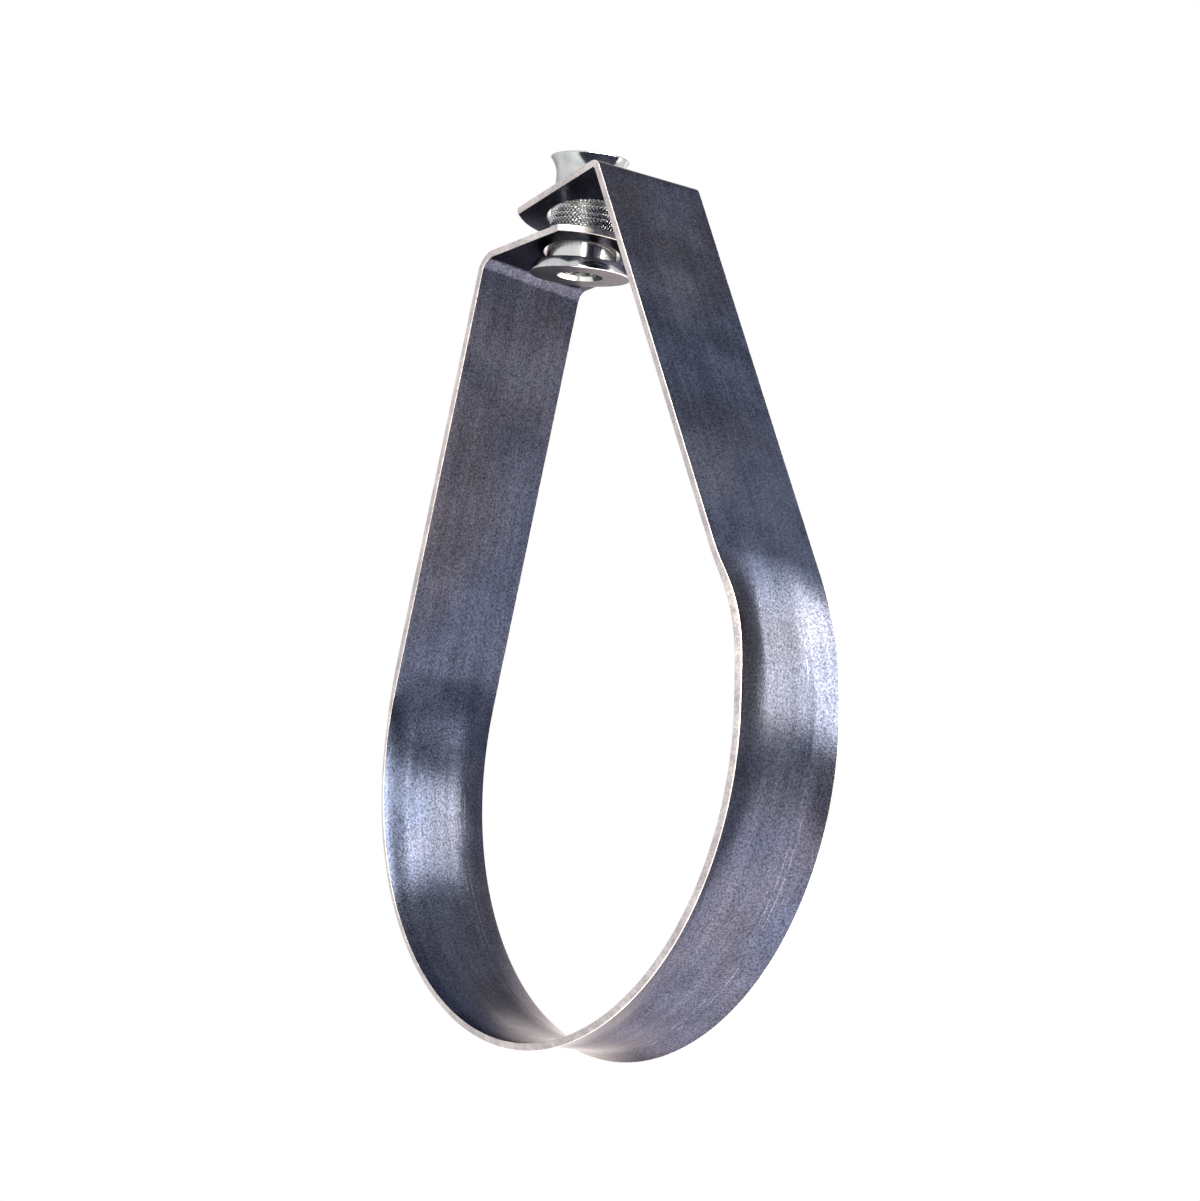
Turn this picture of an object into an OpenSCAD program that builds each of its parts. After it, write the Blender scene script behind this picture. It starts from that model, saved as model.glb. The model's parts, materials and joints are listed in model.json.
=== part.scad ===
// Swivel ring hanger for a 4 inch pipe: a one-piece sheet steel band, folded over at the top into
// two drilled tabs, and a flanged rod nut that turns in the tabs' holes.
// Origin: centre of the ring, on the pipe's axis. +Z up, Y along the pipe, +X towards the leg
// that carries the upper tab. Millimetres.

/* [Band] */
// Width of the steel strip
band_w = 25.4; // [20:0.2:32]
// Thickness of the steel strip
band_t = 1.52; // [1.2:0.02:2]

/* [Saddle] */
// Inner radius of the ring along the middle of the strip, where the pipe lies
saddle_r = 58; // [50:0.5:70]
// Width of the flat middle that touches the pipe
saddle_flat_w = 11.8; // [8:0.1:14]
// How far the strip's rims are flared away from the pipe
flare_rise = 1.7; // [0.5:0.1:2.5]
// Angle above the horizontal at which the flare is fully formed on the left
flare_end_left = 12; // [6:1:16]
// Angle above the horizontal at which the flare is fully formed on the right
flare_end_right = 4; // [0:1:10]
// Length of leg over which the flare fades out above the ring
flare_fade = 6.8; // [4:0.2:10]
// Extra outward bulge of the rims where the right leg meets the ring
rim_bulge = 1.1; // [0:0.1:1.5]

/* [Legs and tabs] */
// Lean of each leg from the vertical
leg_lean = 21.8; // [18:0.2:25]
// Rise of the upper tab's top face over the lower tab's, each where it leaves its fold
tab_rise = 9.3; // [7:0.1:12]
// Droop of the upper tab towards its free end
upper_tab_droop = 4.7; // [0:0.1:6]
// Inner radius of the upper fold
upper_fold_r = 1.5; // [1:0.1:3]
// Skew of the upper fold across the strip, which leaves the tab lower at the back
upper_fold_skew = 3.5; // [0:0.5:5]
// Height of the lower tab's top face above the ring's centre, where it leaves its fold
lower_tab_z = 108.5; // [105:0.5:109]
// Droop of the lower tab towards its free end
lower_tab_droop = 1.5; // [0:0.1:5]
// Inner radius of the lower fold
lower_fold_r = 3; // [1:0.1:4]
// Skew of the lower fold across the strip, which leaves the tab lower at the back
lower_fold_skew = 6; // [0:0.5:7]
// Radius of the tabs' rounded free ends
tab_end_r = 18; // [14:0.5:24]
// Distance from the middle of a tab's hole to its free end
tab_end_reach = 12.2; // [11:0.1:15]
// Diameter of the hole in each tab
tab_hole_d = 15.7; // [15.4:0.1:17]

/* [Nut] */
// Lean of the nut towards the leg with the upper tab
nut_lean = 10; // [6:0.5:12]
// Sideways place of the nut's axis at the height of the upper tab
nut_x = -2.4; // [-4:0.1:0]
// Stand of the nut's top above the middle of the upper tab, along the nut
nut_stand = 9.65; // [7:0.05:12]
// Diameter of the flange at its lower rim
flange_d = 21.4; // [20:0.2:23]
// Diameter of the flange at its upper rim, from which its side widens downwards
flange_top_d = 18.8; // [18:0.2:20]
// Thickness of the flange
flange_t = 2.6; // [2:0.1:4]
// Clearance between the flange and the lower tab at their closest
flange_gap = 0.25; // [0.2:0.05:1]
// Diameter of the barrel and over the knurl's crests
barrel_d = 14.4; // [13.8:0.1:14.6]
// Diameter of the smooth neck above the knurl
neck_d = 13.5; // [13:0.1:14.4]
// Height of the knurl's upper end, where the nut steps in to its neck, above the flange's underside
knurl_to = 15.2; // [13:0.1:16]
// Diameter over the flared rim at the top, which keeps the nut in the tabs
rim_d = 16.4; // [15:0.1:17]
// Height over which the rim flares
rim_flare_h = 4; // [2:0.2:6]
// Thread core diameter of the 3/8 inch, 16 threads per inch rod thread
thread_core_d = 7.94; // [7.8:0.02:8.2]
// Outer diameter of the rod thread
thread_d = 9.525; // [9.4:0.025:9.6]
// Diameter of the countersink inside the flared rim
rim_sink_d = 13.2; // [11:0.2:14]

/* [Hidden] */
$fn = 96;
steel = "#6d7482";
zinc = "#c9cdd2";
half_w = band_w / 2;
half_flat = saddle_flat_w / 2;
rim_r = saddle_r + flare_rise;
flare_w = half_w - half_flat;
// Each leg's inner face keeps this distance from the ring's centre
leg_offset = rim_r;
upper_tab_z = lower_tab_z + tab_rise;
// Small straight overlap between each fold and its leg
fold_lap = 1;
// Facets in each bend, and in each run-out's fade along its leg
fold_steps = 16;
fade_steps = 6;
// Degrees of ring between a run-out's cross-sections
arc_step = 1.5;
// Each run-out reaches this far into its neighbours, and lies this far inside their faces there
runout_lap = 0.6;
runout_inset = 0.02;
// How far the blocks that cut the tabs and legs reach past what they cut
past = 4 * band_t;
chamfer = 0.5;
rim_steps = 5;
sink_h = (rim_sink_d - thread_core_d) / 2;

// Point on a leg's middle plane: how far it lies outside the inner face, and how far up the leg
function leg_point(out, up) = [
    (leg_offset + out) * cos(leg_lean) - up * sin(leg_lean),
    (leg_offset + out) * sin(leg_lean) + up * cos(leg_lean)];

// Angle through which a leg is folded, for the droop of its tab
function fold_turn(droop) = 90 - leg_lean + droop;

// Distance up the leg from the ring's tangent point to the start of a fold whose tab's top face
// has the height z above the ring's centre where it leaves the fold
function fold_start(z, fold_r, droop) =
    (z - leg_point(-fold_r, 0)[1] - (fold_r + band_t) * cos(droop)) / cos(leg_lean);

upper_start = fold_start(upper_tab_z, upper_fold_r, upper_tab_droop);
lower_start = fold_start(lower_tab_z, lower_fold_r, lower_tab_droop);

// Centre of each fold's bend, in the plane of the ring with the fold's own leg on +X
upper_bend = leg_point(-upper_fold_r, upper_start);
lower_bend = leg_point(-lower_fold_r, lower_start);

// The nut's axis leans in the plane of the ring
axis_dir = [sin(nut_lean), cos(nut_lean)];
nut_pivot_z = upper_tab_z - band_t / 2;
axis_point = [nut_x, nut_pivot_z];

// Length along a tab from the end of its bend to where the nut's axis crosses its middle plane.
// The tab's leg is taken on +X, so the axis is mirrored for the lower tab.
function cross_2d(a, b) = a[0] * b[1] - a[1] * b[0];
function hole_reach(bend, fold_r, droop, side) =
    let (along = [-cos(droop), -sin(droop)],
         from = bend + (fold_r + band_t / 2) * [-sin(droop), cos(droop)],
         at = [side * axis_point[0], axis_point[1]],
         dir = [side * axis_dir[0], axis_dir[1]])
    cross_2d(at - from, dir) / cross_2d(along, dir);
upper_reach = hole_reach(upper_bend, upper_fold_r, upper_tab_droop, 1);
lower_reach = hole_reach(lower_bend, lower_fold_r, lower_tab_droop, -1);

// Place of the flange: the edge of its flat top face just clears the lower tab's underside
lower_cross = lower_bend + lower_fold_r * [-sin(lower_tab_droop), cos(lower_tab_droop)]
    + lower_reach * [-cos(lower_tab_droop), -sin(lower_tab_droop)];
tilt_along = nut_lean - lower_tab_droop;
tilt_across = lower_fold_skew;
flange_dip = (flange_top_d / 2 - chamfer) * sqrt(pow(tan(tilt_along), 2) + pow(tan(tilt_across), 2));
flange_top_z = lower_cross[1] - flange_dip - flange_gap;
flange_top_x = nut_x - (nut_pivot_z - flange_top_z) * tan(nut_lean);
nut_l = flange_t + (nut_pivot_z - flange_top_z) / cos(nut_lean) + nut_stand;

// Sideways shift in its skewed tab that keeps a hole on the nut's axis
function hole_shift(fold_r, turn, reach, skew) =
    ((fold_r + band_t / 2) * sin(turn) + reach * cos(turn)) * tan(skew);

// Cross-section of the strip as [distance along Y, distance out from rim_r]: the inner face from
// back to front, then the outer face from front to back, all drawn in by the inset
function strip_section(depth, bulge, inset = 0) =
    let (slope = atan2(depth + bulge, flare_w),
         along = [cos(slope), sin(slope)], out = [-sin(slope), cos(slope)],
         edge = [half_w, bulge] + inset * (out - along),
         crease = [half_flat, -depth] + inset * [-tan(slope / 2), 1],
         edge_out = edge + (band_t - 2 * inset) * out,
         crease_out = crease + (band_t - 2 * inset) * [-tan(slope / 2), 1])
    [edge, crease, [-crease[0], crease[1]], [-edge[0], edge[1]],
     [-edge_out[0], edge_out[1]], [-crease_out[0], crease_out[1]], crease_out, edge_out];

// Smooth step from 0 to 1
function ease(u) = u * u * (3 - 2 * u);

// Stations of the run-out between a leg and the ring as [outward angle, distance up the leg]
function runout_stations(flare_end) = concat(
    [[leg_lean, flare_fade + runout_lap]],
    [for (i = [0 : fade_steps]) [leg_lean, flare_fade * (1 - i / fade_steps)]],
    [for (a = [leg_lean - arc_step : -arc_step : flare_end + arc_step / 2]) [a, 0]],
    [[flare_end, 0], [flare_end - runout_lap * 180 / (PI * rim_r), 0]]);

// Share of the run-out passed at a station, by length
function runout_share(station, flare_end, full_at) =
    let (arc = rim_r * PI / 180,
         passed = flare_fade - station[1] + (leg_lean - station[0]) * arc,
         whole = flare_fade + (leg_lean - full_at) * arc)
    max(0, min(1, passed / whole));

function runout_ring(station, section) =
    let (out = [cos(station[0]), sin(station[0])], up = [-sin(leg_lean), cos(leg_lean)])
    [for (q = section)
        let (p = (rim_r + q[1]) * out + station[1] * up) [p[0], q[0], p[1]]];

// The strip's run-out from flat leg to flared ring, on the +X side
module runout(flare_end, full_at, bulge) {
    stations = runout_stations(flare_end);
    rings = [for (s = stations)
        let (share = runout_share(s, flare_end, full_at),
             whole = runout_share(s, flare_end, flare_end))
        runout_ring(s,
            strip_section(flare_rise * ease(share), bulge * pow(sin(180 * whole), 2), runout_inset))];
    points = [for (ring = rings) each ring];
    last = len(rings) - 1;
    sides = [for (i = [0 : last - 1]) for (j = [0 : 7]) for (half = [0, 1])
        let (a = 8 * i + j, b = 8 * i + (j + 1) % 8, c = a + 8, d = b + 8)
        half == 0 ? [a, b, c] : [b, d, c]];
    cap = [[7, 6, 1, 0], [6, 5, 2, 1], [5, 4, 3, 2]];
    far_cap = [for (quad = cap) [for (k = [3 : -1 : 0]) 8 * last + quad[k]]];
    polyhedron(points, concat(cap, sides, far_cap));
}

// The ring itself, from one run-out round the bottom to the other
module saddle() {
    section = strip_section(flare_rise, 0);
    rotate([90, 0, 0])
        rotate_extrude(angle = 180 + flare_end_left + flare_end_right, start = 180 - flare_end_left)
            polygon([for (q = section) [rim_r + q[1], q[0]]]);
}

// Flat leg on the +X side, from the run-out up to the start of its fold
module leg(fold_at, skew) {
    rotate([0, -leg_lean, 0]) translate([leg_offset, 0, 0]) difference() {
        translate([0, -half_w, flare_fade]) cube([band_t, band_w, fold_at + past / 2 - flare_fade]);
        translate([0, 0, fold_at]) rotate([-skew, 0, 0])
            translate([-past / 2, -band_w, 0]) cube([past, band_w * 2, past]);
    }
}

// Arc about the origin from 0 to turn, as points
function arc_points(r, turn) =
    [for (i = [0 : fold_steps]) r * [cos(turn * i / fold_steps), sin(turn * i / fold_steps)]];

// Side view of a leg's end, the fold about its bend's centre and the tab, as one closed outline
function fold_outline(fold_r, turn, tab_l) =
    let (outer = arc_points(fold_r + band_t, turn), inner = arc_points(fold_r, turn),
         tab = tab_l * [-sin(turn), cos(turn)])
    concat([[fold_r, -fold_lap], [fold_r + band_t, -fold_lap]], outer,
        [outer[fold_steps] + tab, inner[fold_steps] + tab],
        [for (i = [fold_steps : -1 : 0]) inner[i]]);

// What is cut from a tab: its round hole, and the corners outside its rounded end. Z runs through
// the tab and X along it, from the end of the bend.
module tab_cuts(reach, shift) {
    end_at = reach + tab_end_reach - tab_end_r;
    translate([reach, shift, -past / 2]) cylinder(d = tab_hole_d, h = past);
    difference() {
        translate([end_at, -band_w, -past / 2]) cube([tab_end_r * 2, band_w * 2, past]);
        translate([end_at, 0, -past]) cylinder(r = tab_end_r, h = past * 2);
    }
}

// Fold and tab on the +X side, on the end of a leg
module fold_and_tab(fold_at, fold_r, droop, reach, skew) {
    turn = fold_turn(droop);
    shift = hole_shift(fold_r, turn, reach, skew);
    rotate([0, -leg_lean, 0]) translate([leg_offset, 0, fold_at]) rotate([-skew, 0, 0])
        translate([-fold_r, 0, 0]) rotate([90, 0, 0]) difference() {
            linear_extrude(band_w, center = true)
                polygon(fold_outline(fold_r, turn, reach + tab_end_reach + chamfer));
            rotate([0, 0, turn]) translate([fold_r, 0, 0]) rotate([90, 0, 90]) tab_cuts(reach, shift);
        }
}

module ring_band() {
    color(steel) {
        saddle();
        runout(-flare_end_right, flare_end_left, rim_bulge);
        mirror([1, 0, 0]) runout(flare_end_left, flare_end_left, 0);
        leg(upper_start, upper_fold_skew);
        mirror([1, 0, 0]) leg(lower_start, lower_fold_skew);
        fold_and_tab(upper_start, upper_fold_r, upper_tab_droop, upper_reach, upper_fold_skew);
        mirror([1, 0, 0])
            fold_and_tab(lower_start, lower_fold_r, lower_tab_droop, lower_reach, lower_fold_skew);
    }
}

// Outside of the flared rim as [radius, height], curving out from the neck
function rim_curve(neck_r, rim_r) =
    [for (i = [0 : rim_steps]) let (u = i / rim_steps)
        [neck_r + (rim_r - neck_r) * u * u, nut_l - rim_flare_h + (rim_flare_h - chamfer) * u]];

// Turned outline of the nut as [radius, height above the flange's underside]
function nut_outline() =
    let (flange_r = flange_d / 2, top_r = flange_top_d / 2, barrel_r = barrel_d / 2, neck_r = neck_d / 2,
         core_r = thread_core_d / 2, thread_r = thread_d / 2)
    concat([[thread_r, 0], [flange_r - chamfer, 0], [flange_r, chamfer],
        [top_r, flange_t - chamfer], [top_r - chamfer, flange_t],
        [barrel_r, flange_t], [barrel_r, knurl_to], [neck_r, knurl_to + chamfer]],
        rim_curve(neck_r, rim_d / 2),
        [[rim_d / 2 - chamfer / 2, nut_l], [rim_sink_d / 2, nut_l],
        [core_r, nut_l - sink_h], [core_r, thread_r - core_r]]);

module swivel_nut() {
    color(zinc)
        translate([flange_top_x, 0, flange_top_z]) rotate([0, nut_lean, 0])
            translate([0, 0, -flange_t]) rotate_extrude() polygon(nut_outline());
}

ring_band();
swivel_nut();
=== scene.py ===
"""Looks of a swivel ring hanger: a folded and flared sheet steel band, and a knurled swivel nut.

Metres, in the part's own frame. The origin is the centre of the ring, +Z is up towards the nut,
Y runs along the pipe and +X points towards the leg that carries the upper tab.
"""

import json
import math
from collections import namedtuple

import bmesh
import bpy
from mathutils import Euler, Matrix, Vector
from mathutils.geometry import intersect_line_plane

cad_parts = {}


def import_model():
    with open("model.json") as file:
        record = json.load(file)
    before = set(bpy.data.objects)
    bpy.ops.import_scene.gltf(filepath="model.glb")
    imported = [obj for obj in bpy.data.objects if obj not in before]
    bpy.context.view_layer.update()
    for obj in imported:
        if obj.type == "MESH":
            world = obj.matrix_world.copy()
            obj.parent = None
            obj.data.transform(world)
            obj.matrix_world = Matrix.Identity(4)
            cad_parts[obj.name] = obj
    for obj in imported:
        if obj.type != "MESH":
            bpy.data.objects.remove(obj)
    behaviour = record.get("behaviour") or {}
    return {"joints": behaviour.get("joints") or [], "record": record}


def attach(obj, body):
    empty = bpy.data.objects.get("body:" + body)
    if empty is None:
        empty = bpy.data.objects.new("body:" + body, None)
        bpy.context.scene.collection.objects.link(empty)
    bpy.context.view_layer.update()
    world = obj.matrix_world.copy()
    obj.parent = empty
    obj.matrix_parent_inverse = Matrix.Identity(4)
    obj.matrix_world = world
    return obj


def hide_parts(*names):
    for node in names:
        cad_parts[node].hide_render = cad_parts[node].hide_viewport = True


MM = 0.001

# Steel strip
STRIP_HALF_W = 12.7 * MM
STRIP_T = 1.52 * MM
SHEAR_ROUND = 0.2 * MM
SHEARED_CORNER = math.radians(50)
FLAT_WITHIN = math.radians(0.1)
BAND_SHARP_OVER = math.radians(35)

# Flared rims of the ring, and where the flare fades out into the legs
FLARE_RISE = 1.7 * MM
FLARE_FULL_AT = math.radians(12)
FLARE_FADE = 6.8 * MM
# Half width of the soft crease, as a share of the flare's width
CREASE_SOFTNESS = 0.26
CREASE_STEPS = 3
# Places on the flare beyond its soft crease, as shares of the strip's half width
FLARE_COLUMNS = (0.75, 0.9, 1.0)
# Slope of a flare beside its crease, as a share of its mean slope
FLARE_START_SLOPE = 0.62
RIM_BULGE = 1.1 * MM
BULGE_ENDS_AT = math.radians(-4)

# Legs, folds and tabs
LEG_LEAN = math.radians(21.8)
TAB_END_R = 18 * MM
TAB_END_REACH = 12.2 * MM
TAB_HOLE_R = 7.85 * MM
HOLE_SIDES = 96
SKEW_LEAD = 12 * MM

# How finely the strip is divided
RING_STEPS = 60
FADE_STEPS = 8
LEG_STEP = 6 * MM
FOLD_STEPS = 18
END_STEPS = 12
END_STOPS_AT = math.radians(4)

# Nut, heights measured from the flange's underside
NUT_COLUMNS = 288
NUT_SHARP_OVER = math.radians(30)
FLANGE_R = 10.7 * MM
FLANGE_TOP_R = 9.4 * MM
FLANGE_T = 2.6 * MM
FLANGE_ROUND = 0.5 * MM
FLANGE_TOP_ROUND = 0.45 * MM
BARREL_R = 7.2 * MM
BARREL_ROOT = 0.3 * MM
NECK_R = 6.75 * MM
NECK_STEP_H = 0.5 * MM
NECK_ROOT = 0.15 * MM
KNURL_FROM = 6.4 * MM
KNURL_TO = 15.2 * MM
KNURL_GROOVES = 48
KNURL_ANGLE = math.radians(43)
KNURL_DEPTH = 0.4 * MM
KNURL_ROW = 0.09 * MM
KNURL_END = 0.25 * MM
RIM_R = 8.2 * MM
RIM_FLARE_H = 4 * MM
# Share of the flare's height that its curve takes, below the rounded lip
RIM_CURVE_SHARE = 0.93
RIM_CURVE_STEPS = 8
RIM_ROUND = 0.28 * MM
RIM_SINK_R = 6.6 * MM
SINK_ROUND = 0.2 * MM
THREAD_MAJOR_R = 4.7625 * MM
THREAD_PITCH = 1.5875 * MM
THREAD_ROWS_A_TURN = 9
# Flat root and flat crest of the thread, as shares of half a pitch from the root's middle
THREAD_ROOT_TO = 0.125
THREAD_CREST_FROM = 0.75
THREAD_END = 0.6 * MM
CORNER_STEPS = 4
# Faces that lie wholly below this height are the nut's lower face
FACE_SKIN = 0.01 * MM

# Camera at the photograph's viewing angle
CAMERA_AZIMUTH = math.radians(53.493)
CAMERA_ELEVATION = math.radians(15.503)
CAMERA_ROLL = math.radians(0.936)
CAMERA_DISTANCE = 1.094
CAMERA_TARGET = Vector((6.63 * MM, -4.81 * MM, 29.4 * MM))
CAMERA_LENS = 163.57

# Fine lines that the flaring die leaves along the ring
DIE_LINES_Y = (5.7 * MM, 7.0 * MM)
DIE_LINE_W = 0.2 * MM
DIE_LINES_TOP_Z = 20 * MM
DIE_LINES_FADE = 10 * MM

# Keep the metals from turning white where they are seen at a grazing angle
SHEET_GRAZING_TINT = (0.56, 0.54, 0.54, 1)
NUT_GRAZING_TINT = (0.3, 0.31, 0.33, 1)

FLOOR_Z = -1.6
FLOOR_HALF = 6.0
LAMP_DISTANCE = 1.0
WINDOW_LIGHT = (1.0, 0.97, 0.84)
WALL_LIGHT = (1.0, 0.88, 0.8)
TABLE_LIGHT = (1.0, 0.86, 0.76)
# Name, azimuth, elevation, width and height in degrees, glow, colour
SOFT_BOXES = (
    ("right_soft_box", -6, 23, 50, 48, 18, WINDOW_LIGHT),
    ("back_soft_box", 33, 22, 17, 36, 14, WINDOW_LIGHT),
    ("left_soft_box", 138, 8, 60, 64, 1.7, WALL_LIGHT),
    ("low_soft_box", 80, -58, 110, 64, 3.6, TABLE_LIGHT),
)

UP = Vector((0, 0, 1))
ACROSS = Vector((0, 1, 0))

Station = namedtuple("Station", "point out across depth bulge half_w")
Fold = namedtuple("Fold", "side tab_z radius droop skew bulge")

UPPER_FOLD = Fold(1, 117.8 * MM, 1.5 * MM, math.radians(4.7), math.radians(3.5), RIM_BULGE)
LOWER_FOLD = Fold(-1, 108.5 * MM, 3 * MM, math.radians(1.5), math.radians(6), 0.0)


def clamp(value):
    return max(0.0, min(1.0, value))


def smooth_step(value):
    return value * value * (3 - 2 * value)


# Places of the part, read from the frame


def read_frame():
    """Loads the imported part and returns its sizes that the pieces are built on."""
    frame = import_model()
    mounts = {m["name"]: m for m in frame["record"]["mounts"]}
    swivel = frame["joints"][0]
    bore = mounts["rod_thread"]
    pipe = mounts["pipe_saddle"]
    return {
        "saddle_r": pipe["dims"]["r_mm"] * MM,
        "half_flat": pipe["dims"]["length_mm"] / 2 * MM,
        "core_r": bore["dims"]["r_mm"] * MM,
        "bore_l": bore["dims"]["length_mm"] * MM,
        "axis_at": Vector(swivel["pos_m"]),
        "axis": Vector(swivel["axis"]).normalized(),
    }


# The band


def leg_directions(side):
    """Outward and upward directions of the leg on that side."""
    out = Vector((side * math.cos(LEG_LEAN), 0, math.sin(LEG_LEAN)))
    up = Vector((-side * math.sin(LEG_LEAN), 0, math.cos(LEG_LEAN)))
    return out, up


def passed_share(rim_r, angle, up, full_at):
    """Share of the run-out from leg to ring that lies above this place, by length."""
    passed = FLARE_FADE - up + (LEG_LEAN - angle) * rim_r
    whole = FLARE_FADE + (LEG_LEAN - full_at) * rim_r
    return clamp(passed / whole)


def rim_station(rim_r, fold, angle, up):
    """Cross-section of the strip on the ring or on the lower leg."""
    turned = Vector((fold.side * math.cos(angle), 0, math.sin(angle)))
    point = turned * rim_r + leg_directions(fold.side)[1] * up
    depth = FLARE_RISE * smooth_step(passed_share(rim_r, angle, up, FLARE_FULL_AT))
    bulge_share = passed_share(rim_r, angle, up, BULGE_ENDS_AT)
    bulge = fold.bulge * math.sin(math.pi * bulge_share) ** 2
    return Station(point, turned, ACROSS, depth, bulge, STRIP_HALF_W)


def ring_stations(rim_r, fold):
    """From the ring's lowest point up to where the leg starts."""
    low = -math.pi / 2
    span = LEG_LEAN - low
    angles = [low + span * i / RING_STEPS for i in range(RING_STEPS + 1)]
    ring = [rim_station(rim_r, fold, angle, 0) for angle in angles]
    fade = [FLARE_FADE * i / FADE_STEPS for i in range(1, FADE_STEPS + 1)]
    return ring + [rim_station(rim_r, fold, LEG_LEAN, up) for up in fade]


def fold_height(rim_r, fold):
    """Distance up the leg from the ring to where its fold starts."""
    out, up = leg_directions(fold.side)
    foot = (out * (rim_r - fold.radius)).z
    crown = (fold.radius + STRIP_T) * math.cos(fold.droop)
    return (fold.tab_z - foot - crown) / up.z


def skewed(fold, turn):
    """Across and up directions of the leg, turned in its plane by this angle."""
    up = leg_directions(fold.side)[1]
    across = ACROSS * math.cos(turn) - up * math.sin(turn)
    upward = ACROSS * math.sin(turn) + up * math.cos(turn)
    return across, upward


def leg_stations(rim_r, fold):
    """The flat leg, whose cross-sections turn into the fold's skew near its top."""
    out, up = leg_directions(fold.side)
    top = fold_height(rim_r, fold)
    steps = math.ceil((top - FLARE_FADE) / LEG_STEP)
    stations = []
    for i in range(1, steps + 1):
        height = FLARE_FADE + (top - FLARE_FADE) * i / steps
        turn = fold.skew * smooth_step(clamp((height - top + SKEW_LEAD) / SKEW_LEAD))
        across = skewed(fold, turn)[0]
        half_w = STRIP_HALF_W / math.cos(turn)
        stations.append(Station(out * rim_r + up * height, out, across, 0, 0, half_w))
    return stations


def fold_stations(rim_r, fold):
    """The bend at the leg's top, up to the end of its curve."""
    out, up = leg_directions(fold.side)
    across, upward = skewed(fold, fold.skew)
    centre = out * (rim_r - fold.radius) + up * fold_height(rim_r, fold)
    turn = math.pi / 2 - LEG_LEAN + fold.droop
    stations = []
    for i in range(1, FOLD_STEPS + 1):
        angle = turn * i / FOLD_STEPS
        normal = out * math.cos(angle) + upward * math.sin(angle)
        stations.append(Station(centre + normal * fold.radius, normal, across, 0, 0, STRIP_HALF_W))
    along = upward * math.cos(turn) - out * math.sin(turn)
    return stations, along


def hole_centre(bend_end, sizes):
    """Where the nut's axis crosses the middle of the tab's thickness."""
    middle = bend_end.point + bend_end.out * (STRIP_T / 2)
    return intersect_line_plane(
        sizes["axis_at"], sizes["axis_at"] + sizes["axis"], middle, bend_end.out
    )


def tab_stations(bend_end, along, centre):
    """The flat tab, with its rounded free end beyond the hole."""
    reach = (centre - bend_end.point).dot(along)
    round_from = reach + TAB_END_REACH - TAB_END_R
    widest = math.asin(bend_end.half_w / TAB_END_R)
    stations = []
    for i in range(END_STEPS + 1):
        angle = widest + (END_STOPS_AT - widest) * i / END_STEPS
        point = bend_end.point + along * (round_from + TAB_END_R * math.cos(angle))
        half_w = TAB_END_R * math.sin(angle)
        stations.append(Station(point, bend_end.out, bend_end.across, 0, 0, half_w))
    return stations


def side_stations(sizes, fold):
    """One side of the strip from the ring's lowest point to the free end of its tab."""
    rim_r = sizes["saddle_r"] + FLARE_RISE
    stations = ring_stations(rim_r, fold) + leg_stations(rim_r, fold)
    bend, along = fold_stations(rim_r, fold)
    centre = hole_centre(bend[-1], sizes)
    return stations + bend + tab_stations(bend[-1], along, centre), centre, bend[-1].out


def section_columns(crease):
    """Places across the strip, as shares of its half width, close together at the creases."""
    soft = CREASE_SOFTNESS * (1 - crease)
    around = [crease + soft * k / CREASE_STEPS for k in range(-CREASE_STEPS, CREASE_STEPS + 1)]
    half = [0.0, crease / 2, *around, *FLARE_COLUMNS]
    return [-share for share in reversed(half[1:])] + half


def flare_ramp(along):
    """Share of the flare's rise and its slope, from a soft crease at 0 to the strip's edge at 1."""
    soft = CREASE_SOFTNESS
    start = FLARE_START_SLOPE
    end = 2 * (1 - start * soft) / (1 - soft) - start
    if along < -soft:
        return 0.0, 0.0
    if along < soft:
        return start * (along + soft) ** 2 / (4 * soft), start * (along + soft) / (2 * soft)
    slope = start + (end - start) * (along - soft) / (1 - soft)
    return start * soft + (along - soft) * (start + slope) / 2, slope


def section_point(station, share, crease):
    """Inner and outer point of the strip at one place across a cross-section."""
    along_flare = (abs(share) - crease) / (1 - crease)
    ramp, steepness = flare_ramp(along_flare)
    rise = station.depth + station.bulge
    flare_w = (1 - crease) * STRIP_HALF_W
    slope = math.copysign(math.atan(steepness * rise / flare_w), share)
    inner = station.point + station.across * (share * station.half_w)
    inner = inner + station.out * (ramp * rise - station.depth)
    normal = station.out * math.cos(slope) - station.across * math.sin(slope)
    return inner, inner + normal * STRIP_T


def strip_mesh(stations, crease):
    """Closed mesh through the cross-sections: rolled faces are material 0, sheared edges 1."""
    columns = section_columns(crease)
    mesh = bmesh.new()
    rows = []
    for station in stations:
        pairs = [section_point(station, share, crease) for share in columns]
        rows.append([(mesh.verts.new(a), mesh.verts.new(b)) for a, b in pairs])
    last = len(columns) - 1
    for low, high in zip(rows, rows[1:]):
        for j in range(last):
            for face_of in (0, 1):
                corners = (low[j], low[j + 1], high[j + 1], high[j])
                mesh.faces.new([pair[face_of] for pair in corners])
        for j in (0, last):
            mesh.faces.new([low[j][0], low[j][1], high[j][1], high[j][0]]).material_index = 1
    for row in (rows[0], rows[-1]):
        rim = [pair[0] for pair in row] + [pair[1] for pair in reversed(row)]
        mesh.faces.new(rim).material_index = 1
    bmesh.ops.recalc_face_normals(mesh, faces=mesh.faces)
    return mesh


def merge_flat_faces(mesh):
    """Joins faces that lie in one plane, which leaves clean sheets for the holes."""
    bmesh.ops.dissolve_limit(
        mesh,
        angle_limit=FLAT_WITHIN,
        verts=mesh.verts,
        edges=mesh.edges,
        delimit={"MATERIAL"},
    )


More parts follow.
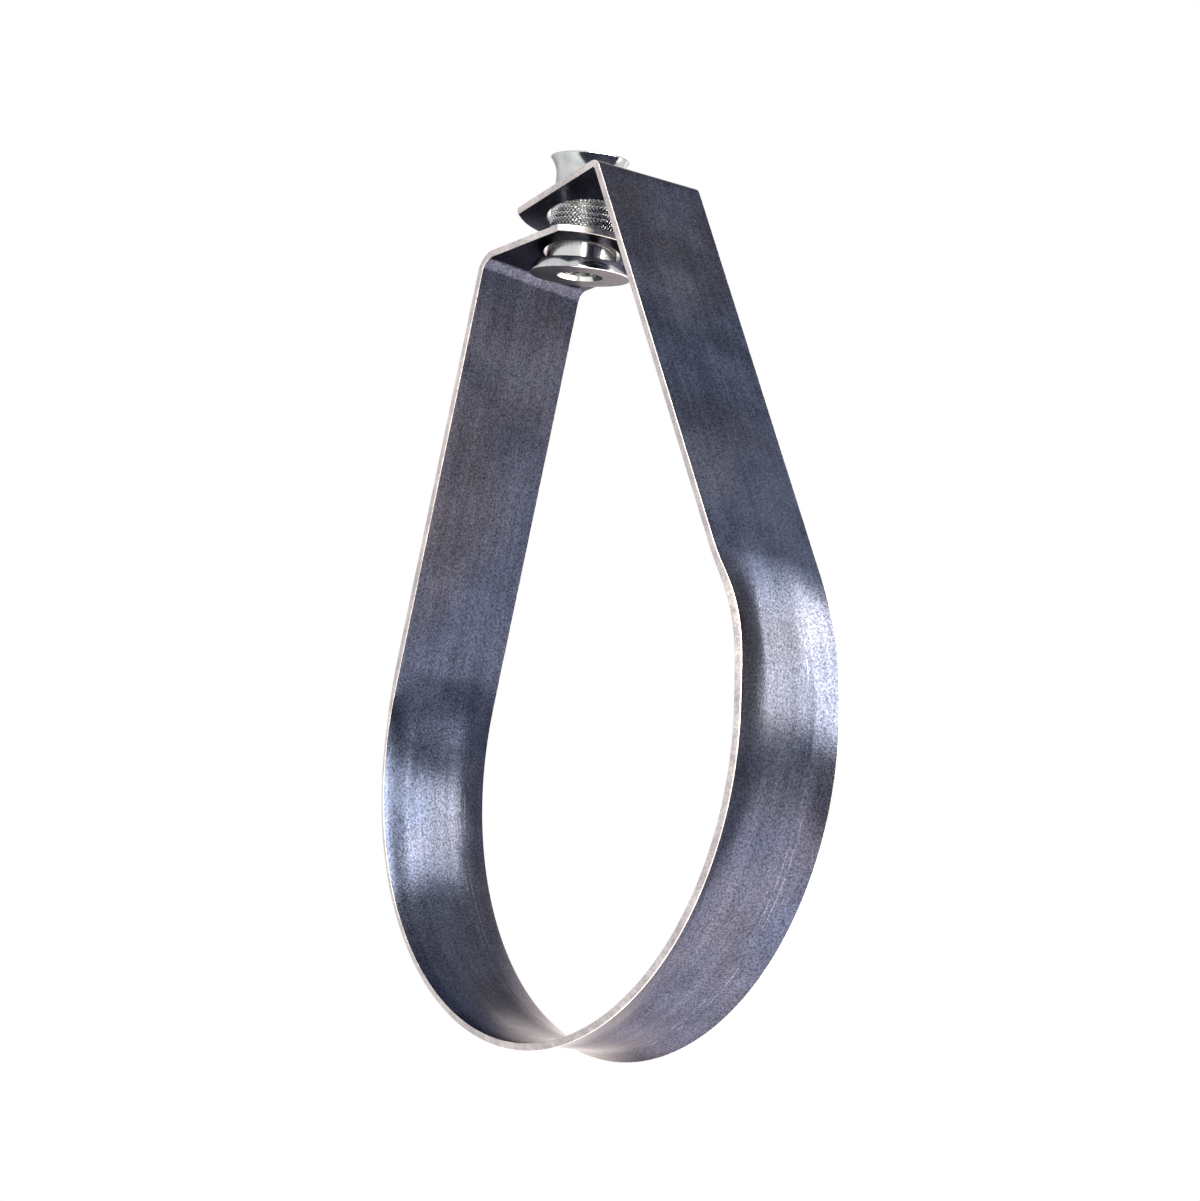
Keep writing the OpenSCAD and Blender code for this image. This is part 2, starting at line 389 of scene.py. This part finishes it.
def hole_cutter(centre, axis, materials):
    """Cylinder that cuts one tab's hole and leaves a sheared wall."""
    mesh = bmesh.new()
    bmesh.ops.create_cone(
        mesh,
        cap_ends=True,
        segments=HOLE_SIDES,
        radius1=TAB_HOLE_R,
        radius2=TAB_HOLE_R,
        depth=STRIP_T * 4,
        matrix=Matrix.Translation(centre) @ UP.rotation_difference(axis).to_matrix().to_4x4(),
    )
    for face in mesh.faces:
        face.material_index = 1
    return add_object("tab_hole_cutter", mesh, materials)


def add_object(name, mesh, materials):
    """Puts a bmesh into the scene as an object with these materials."""
    data = bpy.data.meshes.new(name)
    mesh.to_mesh(data)
    mesh.free()
    for material in materials:
        data.materials.append(material)
    piece = bpy.data.objects.new(name, data)
    bpy.context.scene.collection.objects.link(piece)
    return piece


def apply_modifiers(piece):
    """Makes the modifiers' result the piece's own mesh."""
    bpy.context.view_layer.update()
    evaluated = piece.evaluated_get(bpy.context.evaluated_depsgraph_get())
    finished = bpy.data.meshes.new_from_object(evaluated)
    piece.modifiers.clear()
    old = piece.data
    piece.data = finished
    bpy.data.meshes.remove(old)


def cut_holes(piece, cutters):
    for cutter in cutters:
        cut = piece.modifiers.new("hole", "BOOLEAN")
        cut.operation = "DIFFERENCE"
        cut.solver = "EXACT"
        cut.material_mode = "INDEX"
        cut.object = cutter
    apply_modifiers(piece)
    for cutter in cutters:
        bpy.data.objects.remove(cutter)


def round_sheared_edges(piece):
    bevel = piece.modifiers.new("sheared edges", "BEVEL")
    bevel.limit_method = "ANGLE"
    bevel.angle_limit = SHEARED_CORNER
    bevel.width = SHEAR_ROUND
    bevel.segments = 3
    # The rounds take the pale cut-edge material: bare steel at the cut, and a painted highlight along
    # the corners of the rolled faces
    bevel.material = 1
    apply_modifiers(piece)


def shade_by_angle(piece, sharp_over):
    """Smooth shading that stays crisp over corners sharper than this angle."""
    piece.data.shade_smooth()
    piece.data.set_sharp_from_angle(angle=sharp_over)
    weighted = piece.modifiers.new("flat faces stay flat", "WEIGHTED_NORMAL")
    weighted.keep_sharp = True
    apply_modifiers(piece)


def build_band(sizes):
    left, left_hole, left_axis = side_stations(sizes, LOWER_FOLD)
    right, right_hole, right_axis = side_stations(sizes, UPPER_FOLD)
    mesh = strip_mesh(left[::-1] + right[1:], sizes["half_flat"] / STRIP_HALF_W)
    merge_flat_faces(mesh)
    materials = [galvanised_sheet(), sheared_edge()]
    band = add_object("folded_ring_band", mesh, materials)
    holes = ((left_hole, left_axis), (right_hole, right_axis))
    cut_holes(band, [hole_cutter(centre, axis, materials) for centre, axis in holes])
    round_sheared_edges(band)
    shade_by_angle(band, BAND_SHARP_OVER)
    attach(band, "ring")
    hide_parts("ring_band")


# The nut


def rounded(outline):
    """Outline of (radius, height, rounding) points with its corners drawn as short curves."""
    points = []
    for before, corner, after in zip(outline, outline[1:], outline[2:]):
        at = Vector(corner[:2])
        if corner[2] == 0:
            points.append(at)
            continue
        start = at + (Vector(before[:2]) - at).normalized() * corner[2]
        end = at + (Vector(after[:2]) - at).normalized() * corner[2]
        for i in range(CORNER_STEPS + 1):
            share = i / CORNER_STEPS
            points.append(start.lerp(at, share).lerp(at.lerp(end, share), share))
    return points


def rim_flare(nut_l):
    """The neck's outward curve to the rim's lip, as points of an outline."""
    base = nut_l - RIM_FLARE_H
    points = []
    for i in range(RIM_CURVE_STEPS + 1):
        share = i / RIM_CURVE_STEPS
        radius = NECK_R + (RIM_R - NECK_R) * share * share
        points.append((radius, base + RIM_FLARE_H * share * RIM_CURVE_SHARE, 0))
    return points


def groove(phase):
    """Depth share of a V groove that runs along whole numbers of the phase."""
    return 1 - 2 * abs(phase - math.floor(phase) - 0.5)


def knurl_radius(angle, height):
    """Radius of the knurled band: two crossed families of grooves, run out at both ends."""
    lean = math.tan(KNURL_ANGLE) / BARREL_R * height
    crossed = max(
        groove((angle + lean) * KNURL_GROOVES / math.tau + 0.5),
        groove((angle - lean) * KNURL_GROOVES / math.tau + 0.5),
    )
    inside = min(height - KNURL_FROM, KNURL_TO - height)
    return BARREL_R - KNURL_DEPTH * crossed * clamp(inside / KNURL_END)


def thread_radius(sizes, angle, height, low, high):
    """Radius of the bore: a 60 degree screw thread cut out from the core, run out at both ends."""
    phase = height / THREAD_PITCH - angle / math.tau
    from_root = 2 * abs(phase - math.floor(phase) - 0.5)
    cut = clamp((THREAD_CREST_FROM - from_root) / (THREAD_CREST_FROM - THREAD_ROOT_TO))
    ends = clamp(min(height - low, high - height) / THREAD_END)
    return sizes["core_r"] + (THREAD_MAJOR_R - sizes["core_r"]) * cut * ends


def even_steps(start, end, count):
    return [start + (end - start) * i / count for i in range(count + 1)]


def plain_rows(points):
    """Rings of one radius each."""
    return [(lambda angle, r=point[0]: r, point[1]) for point in points]


def flange_and_barrel():
    """Outline up to the knurl. Its first and last points only give directions."""
    return [
        (THREAD_MAJOR_R, 0.0, 0),
        (FLANGE_R, 0.0, FLANGE_ROUND),
        (FLANGE_TOP_R, FLANGE_T, FLANGE_TOP_ROUND),
        (BARREL_R, FLANGE_T, BARREL_ROOT),
        (BARREL_R, KNURL_FROM, 0),
    ]


def neck_and_rim(nut_l, core_r, bore_top):
    """Outline from the knurl over the rim to the bore. Its end points only give directions."""
    return [
        (BARREL_R, KNURL_TO, 0),
        (NECK_R, KNURL_TO + NECK_STEP_H, NECK_ROOT),
        *rim_flare(nut_l),
        (RIM_R, nut_l, RIM_ROUND),
        (RIM_SINK_R, nut_l, SINK_ROUND),
        (core_r, bore_top, 0),
    ]


def nut_rows(sizes, nut_l):
    """Rings of the turned nut from its lower face up its outside and down its bore.

    Each is a function that gives the radius at an angle, with the ring's height.
    """
    low = THREAD_MAJOR_R - sizes["core_r"]
    high = nut_l - (RIM_SINK_R - sizes["core_r"])
    knurl = even_steps(KNURL_FROM, KNURL_TO, math.ceil((KNURL_TO - KNURL_FROM) / KNURL_ROW))
    thread = even_steps(high, low, math.ceil((high - low) / THREAD_PITCH * THREAD_ROWS_A_TURN))

    rows = plain_rows([(THREAD_MAJOR_R, 0.0)])
    rows += plain_rows(rounded(flange_and_barrel()))
    rows += [(lambda angle, h=h: knurl_radius(angle, h), h) for h in knurl]
    rows += plain_rows(rounded(neck_and_rim(nut_l, sizes["core_r"], high)))
    rows += [(lambda angle, h=h: thread_radius(sizes, angle, h, low, high), h) for h in thread]
    return rows


def lathe_mesh(rows):
    """Closed ring of faces round Z through the rows."""
    mesh = bmesh.new()
    angles = [math.tau * i / NUT_COLUMNS for i in range(NUT_COLUMNS)]
    rings = []
    for radius_at, height in rows:
        ring = []
        for angle in angles:
            radius = radius_at(angle)
            ring.append(mesh.verts.new((radius * math.cos(angle), radius * math.sin(angle), height)))
        rings.append(ring)
    for low, high in zip(rings, rings[1:] + rings[:1]):
        for i in range(NUT_COLUMNS):
            j = (i + 1) % NUT_COLUMNS
            mesh.faces.new([low[i], low[j], high[j], high[i]])
    bmesh.ops.recalc_face_normals(mesh, faces=mesh.faces)
    return mesh


def build_nut(sizes):
    chamfer = THREAD_MAJOR_R - sizes["core_r"]
    sink_h = RIM_SINK_R - sizes["core_r"]
    nut_l = sizes["bore_l"] + chamfer + sink_h
    base = sizes["axis_at"] - sizes["axis"] * (chamfer + sizes["bore_l"] / 2)
    lean = UP.rotation_difference(sizes["axis"]).to_matrix().to_4x4()
    mesh = lathe_mesh(nut_rows(sizes, nut_l))
    for face in mesh.faces:
        # Faces of the lower face take the second material, whose dark colour is painted shade below the
        # flange
        face.material_index = int(all(vert.co.z < FACE_SKIN for vert in face.verts))
    mesh.transform(Matrix.Translation(base) @ lean)
    nut = add_object("swivel_rod_nut", mesh, [bright_zinc(UP.angle(sizes["axis"])), painted_shade_face()])
    shade_by_angle(nut, NUT_SHARP_OVER)
    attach(nut, "rod_nut")
    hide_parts("swivel_nut")


# Materials


def new_material(name):
    material = bpy.data.materials.new(name)
    material.use_nodes = True
    return material, material.node_tree, material.node_tree.nodes["Principled BSDF"]


def link(tree, source, target):
    tree.links.new(source, target)


def noise(tree, scale, detail, vector):
    node = tree.nodes.new("ShaderNodeTexNoise")
    node.inputs["Scale"].default_value = scale
    node.inputs["Detail"].default_value = detail
    link(tree, vector, node.inputs["Vector"])
    return node.outputs["Fac"]


def remap(tree, value, low, high, to_low=0.0, to_high=1.0):
    """Spreads the range low to high of a mask over another range, cut off at its ends."""
    node = tree.nodes.new("ShaderNodeMapRange")
    for name, number in (("From Min", low), ("From Max", high), ("To Min", to_low), ("To Max", to_high)):
        node.inputs[name].default_value = number
    link(tree, value, node.inputs["Value"])
    return node.outputs["Result"]


def stretched(tree, vector, scale):
    node = tree.nodes.new("ShaderNodeMapping")
    node.inputs["Scale"].default_value = scale
    link(tree, vector, node.inputs["Vector"])
    return node.outputs["Vector"]


def mixed(tree, mask, first, second):
    """Colour mix whose ends are colours or other nodes' outputs."""
    node = tree.nodes.new("ShaderNodeMix")
    node.data_type = "RGBA"
    for name, value in ((6, first), (7, second)):
        if isinstance(value, tuple):
            node.inputs[name].default_value = (*value, 1)
        else:
            link(tree, value, node.inputs[name])
    link(tree, mask, node.inputs[0])
    return node.outputs[2]


def brightened(tree, colour, factor):
    """Colour times a mask."""
    node = tree.nodes.new("ShaderNodeVectorMath")
    node.operation = "SCALE"
    link(tree, colour, node.inputs[0])
    link(tree, factor, node.inputs["Scale"])
    return node.outputs["Vector"]


def math_node(tree, operation, first, second):
    node = tree.nodes.new("ShaderNodeMath")
    node.operation = operation
    for socket, value in zip(node.inputs, (first, second)):
        if isinstance(value, (int, float)):
            socket.default_value = value
        else:
            link(tree, value, socket)
    return node.outputs[0]


def metal_grain():
    """Node group: fine grain, lengthwise roll streaks and wide mottling of a metal face."""
    name = "metal_grain"
    if name in bpy.data.node_groups:
        return bpy.data.node_groups[name]
    tree = bpy.data.node_groups.new(name, "ShaderNodeTree")
    for label, value in (("Grains per Metre", 2400.0), ("Streaks per Metre", 900.0),
                         ("Patches per Metre", 110.0)):
        socket = tree.interface.new_socket(label, in_out="INPUT", socket_type="NodeSocketFloat")
        socket.default_value = value
    tree.interface.new_socket("Place", in_out="INPUT", socket_type="NodeSocketVector")
    for label in ("Grain", "Streaks", "Patches"):
        tree.interface.new_socket(label, in_out="OUTPUT", socket_type="NodeSocketFloat")
    given = tree.nodes.new("NodeGroupInput").outputs
    result = tree.nodes.new("NodeGroupOutput").inputs
    place = given["Place"]
    along = stretched(tree, place, (0.03, 1.0, 0.03))
    for source, target, detail, vector, low, high in (
        ("Grains per Metre", "Grain", 2.0, place, 0.32, 0.68),
        ("Streaks per Metre", "Streaks", 2.0, along, 0.36, 0.64),
        ("Patches per Metre", "Patches", 3.0, place, 0.38, 0.62),
    ):
        texture = noise(tree, 1.0, detail, vector)
        link(tree, given[source], texture.node.inputs["Scale"])
        link(tree, remap(tree, texture, low, high), result[target])
    return tree


def grain_node(tree, grains, streaks, patches):
    """Places the shared grain group, with its counts per metre, in the piece's own coordinates."""
    node = tree.nodes.new("ShaderNodeGroup")
    node.node_tree = metal_grain()
    node.inputs["Grains per Metre"].default_value = grains
    node.inputs["Streaks per Metre"].default_value = streaks
    node.inputs["Patches per Metre"].default_value = patches
    place = tree.nodes.new("ShaderNodeTexCoord").outputs["Object"]
    link(tree, place, node.inputs["Place"])
    return node.outputs, place


def bump(tree, shader, height, strength, distance):
    node = tree.nodes.new("ShaderNodeBump")
    node.inputs["Strength"].default_value = strength
    node.inputs["Distance"].default_value = distance
    link(tree, height, node.inputs["Height"])
    link(tree, node.outputs["Normal"], shader.inputs["Normal"])


def die_marks(tree, place):
    """Mask of the fine broken lines that the flaring die leaves beside the ring's back crease."""
    node = tree.nodes.new("ShaderNodeSeparateXYZ")
    link(tree, place, node.inputs["Vector"])
    lines = None
    for line_y in DIE_LINES_Y:
        off = math_node(tree, "ABSOLUTE", math_node(tree, "SUBTRACT", node.outputs["Y"], line_y), 0.0)
        line = remap(tree, off, 0.0, DIE_LINE_W, 1.0, 0.0)
        lines = line if lines is None else math_node(tree, "MAXIMUM", lines, line)
    broken = remap(tree, noise(tree, 260.0, 3.0, place), 0.44, 0.56)
    fade_from = DIE_LINES_TOP_Z - DIE_LINES_FADE
    on_ring = remap(tree, node.outputs["Z"], fade_from, DIE_LINES_TOP_Z, 1.0, 0.0)
    return math_node(tree, "MULTIPLY", math_node(tree, "MULTIPLY", lines, broken), on_ring)


def galvanised_sheet():
    """Rolled faces of the strip: dark blue-grey galvanised steel with a fine grain."""
    material, tree, shader = new_material("galvanised_sheet")
    masks, place = grain_node(tree, grains=2300.0, streaks=700.0, patches=75.0)
    tint = remap(tree, noise(tree, 22.0, 2.0, place), 0.46, 0.68)
    colour = mixed(tree, tint, (0.040, 0.047, 0.076), (0.053, 0.053, 0.069))
    grainy = remap(tree, masks["Grain"], 0, 1, 0.5, 1.5)
    patchy = remap(tree, masks["Patches"], 0, 1, 0.86, 1.14)
    streaky = remap(tree, masks["Streaks"], 0, 1, 0.9, 1.12)
    shade = math_node(tree, "MULTIPLY", math_node(tree, "MULTIPLY", grainy, patchy), streaky)
    shade = math_node(tree, "MULTIPLY", shade, remap(tree, die_marks(tree, place), 0, 1, 1.0, 2.1))
    link(tree, brightened(tree, colour, shade), shader.inputs["Base Color"])
    shader.inputs["Metallic"].default_value = 1
    link(tree, remap(tree, masks["Patches"], 0, 1, 0.24, 0.3), shader.inputs["Roughness"])
    shader.inputs["Specular Tint"].default_value = SHEET_GRAZING_TINT
    bump(tree, shader, masks["Grain"], 0.14, 0.05 * MM)
    return material


def sheared_edge():
    """Cut edges of the strip: bare pale steel with marks of the shear across it. It also colours the
    rounds beside the cut edges, where its pale colour is a painted highlight.
    """
    material, tree, shader = new_material("sheared_edge")
    masks, place = grain_node(tree, grains=1500.0, streaks=1600.0, patches=160.0)
    colour = mixed(tree, masks["Patches"], (0.5, 0.455, 0.455), (0.66, 0.61, 0.6))
    shade = remap(tree, masks["Grain"], 0, 1, 0.84, 1.12)
    link(tree, brightened(tree, colour, shade), shader.inputs["Base Color"])
    shader.inputs["Metallic"].default_value = 1
    link(tree, remap(tree, masks["Grain"], 0, 1, 0.38, 0.5), shader.inputs["Roughness"])
    bump(tree, shader, masks["Streaks"], 0.15, 0.08 * MM)
    return material


def upright(tree, place, lean):
    """Coordinates whose Z runs along the nut, which leans in the plane of the ring."""
    node = tree.nodes.new("ShaderNodeVectorRotate")
    node.rotation_type = "Y_AXIS"
    node.inputs["Angle"].default_value = -lean
    link(tree, place, node.inputs["Vector"])
    return node.outputs["Vector"]


def bright_zinc(lean):
    """Plated nut: bright, slightly cloudy zinc over fine turning rings."""
    material, tree, shader = new_material("bright_zinc")
    masks, place = grain_node(tree, grains=1800.0, streaks=400.0, patches=260.0)
    colour = mixed(tree, masks["Patches"], (0.5, 0.51, 0.52), (0.66, 0.66, 0.65))
    link(tree, colour, shader.inputs["Base Color"])
    shader.inputs["Metallic"].default_value = 1
    shader.inputs["Specular Tint"].default_value = NUT_GRAZING_TINT
    link(tree, remap(tree, masks["Patches"], 0, 1, 0.12, 0.2), shader.inputs["Roughness"])
    rings = noise(tree, 5200.0, 1.0, stretched(tree, upright(tree, place, lean), (0.004, 0.004, 1.0)))
    bump(tree, shader, rings, 0.1, 0.01 * MM)
    return material


def painted_shade_face():
    """Lower face of the nut: dull metal, dark with painted shade below its flange."""
    material, tree, shader = new_material("painted_shade_face")
    masks, place = grain_node(tree, grains=2300.0, streaks=600.0, patches=200.0)
    # Dark base colour: painted shade below the nut's flange
    colour = mixed(tree, masks["Patches"], (0.05, 0.054, 0.07), (0.085, 0.085, 0.1))
    shade = remap(tree, masks["Grain"], 0, 1, 0.7, 1.3)
    link(tree, brightened(tree, colour, shade), shader.inputs["Base Color"])
    shader.inputs["Metallic"].default_value = 1
    shader.inputs["Roughness"].default_value = 0.42
    shader.inputs["Specular Tint"].default_value = SHEET_GRAZING_TINT
    bump(tree, shader, masks["Grain"], 0.15, 0.04 * MM)
    return material


def pale_floor():
    material, tree, shader = new_material("pale_floor")
    place = tree.nodes.new("ShaderNodeTexCoord").outputs["Object"]
    cloud = remap(tree, noise(tree, 3.0, 2.0, place), 0.3, 0.7)
    link(tree, mixed(tree, cloud, (0.93, 0.93, 0.93), (0.96, 0.96, 0.96)), shader.inputs["Base Color"])
    shader.inputs["Roughness"].default_value = 0.9
    return material


# Studio


def build_floor():
    mesh = bmesh.new()
    corners = ((-1, -1), (1, -1), (1, 1), (-1, 1))
    mesh.faces.new([mesh.verts.new((x * FLOOR_HALF, y * FLOOR_HALF, FLOOR_Z)) for x, y in corners])
    add_object("studio_floor", mesh, [pale_floor()])


def light_world():
    """Soft even light, and plain white where the camera or a mirror-like face looks past the part."""
    world = bpy.data.worlds.new("studio_air")
    bpy.context.scene.world = world
    world.use_nodes = True
    tree = world.node_tree
    soft = tree.nodes["Background"]
    soft.inputs["Color"].default_value = (0.95, 0.97, 1.0, 1)
    soft.inputs["Strength"].default_value = 1.0
    white = tree.nodes.new("ShaderNodeBackground")
    white.inputs["Color"].default_value = (1, 1, 1, 1)
    white.inputs["Strength"].default_value = 1.0
    path = tree.nodes.new("ShaderNodeLightPath").outputs
    seen = math_node(tree, "MAXIMUM", path["Is Camera Ray"], path["Is Glossy Ray"])
    seen = math_node(tree, "MAXIMUM", seen, path["Is Transmission Ray"])
    choose = tree.nodes.new("ShaderNodeMixShader")
    link(tree, seen, choose.inputs[0])
    link(tree, soft.outputs[0], choose.inputs[1])
    link(tree, white.outputs[0], choose.inputs[2])
    link(tree, choose.outputs[0], tree.nodes["World Output"].inputs["Surface"])


def soft_box(name, azimuth, elevation, wide, tall, glow, colour):
    """Area light that faces the ring, with its angles in degrees.

    Azimuth is counted from +X towards +Y. Seen from the ring, the light is this wide and tall, and
    its glow says how many times as bright as the white around it.
    """
    lamp = bpy.data.lights.new(name, "AREA")
    lamp.shape = "RECTANGLE"
    lamp.size = 2 * LAMP_DISTANCE * math.tan(math.radians(wide / 2))
    lamp.size_y = 2 * LAMP_DISTANCE * math.tan(math.radians(tall / 2))
    lamp.energy = glow * math.pi * lamp.size * lamp.size_y
    lamp.color = colour
    holder = bpy.data.objects.new(name, lamp)
    place = Vector((LAMP_DISTANCE, 0, 0))
    place.rotate(Euler((0, -math.radians(elevation), math.radians(azimuth))))
    holder.location = place
    holder.rotation_euler = (-place).to_track_quat("-Z", "Y").to_euler()
    holder.visible_camera = False
    bpy.context.scene.collection.objects.link(holder)


def light_studio():
    light_world()
    for name, azimuth, elevation, wide, tall, glow, colour in SOFT_BOXES:
        soft_box(name, azimuth, elevation, wide, tall, glow, colour)


def add_camera():
    level = math.cos(CAMERA_ELEVATION)
    forward = Vector((
        -math.sin(CAMERA_AZIMUTH) * level,
        math.cos(CAMERA_AZIMUTH) * level,
        math.sin(CAMERA_ELEVATION),
    ))
    level_right = forward.cross(UP).normalized()
    level_up = level_right.cross(forward)
    right = level_right * math.cos(CAMERA_ROLL) - level_up * math.sin(CAMERA_ROLL)
    up = right.cross(forward)
    turned = Matrix((right, up, -forward)).transposed().to_4x4()
    lens = bpy.data.cameras.new("photo_camera")
    lens.lens = CAMERA_LENS
    lens.clip_start = 0.05
    camera = bpy.data.objects.new("photo_camera", lens)
    camera.matrix_world = Matrix.Translation(CAMERA_TARGET - forward * CAMERA_DISTANCE) @ turned
    bpy.context.scene.collection.objects.link(camera)
    bpy.context.scene.camera = camera


SIZES = read_frame()
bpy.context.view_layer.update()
build_band(SIZES)
build_nut(SIZES)
build_floor()
light_studio()
add_camera()
bpy.context.scene.view_settings.view_transform = "Standard"
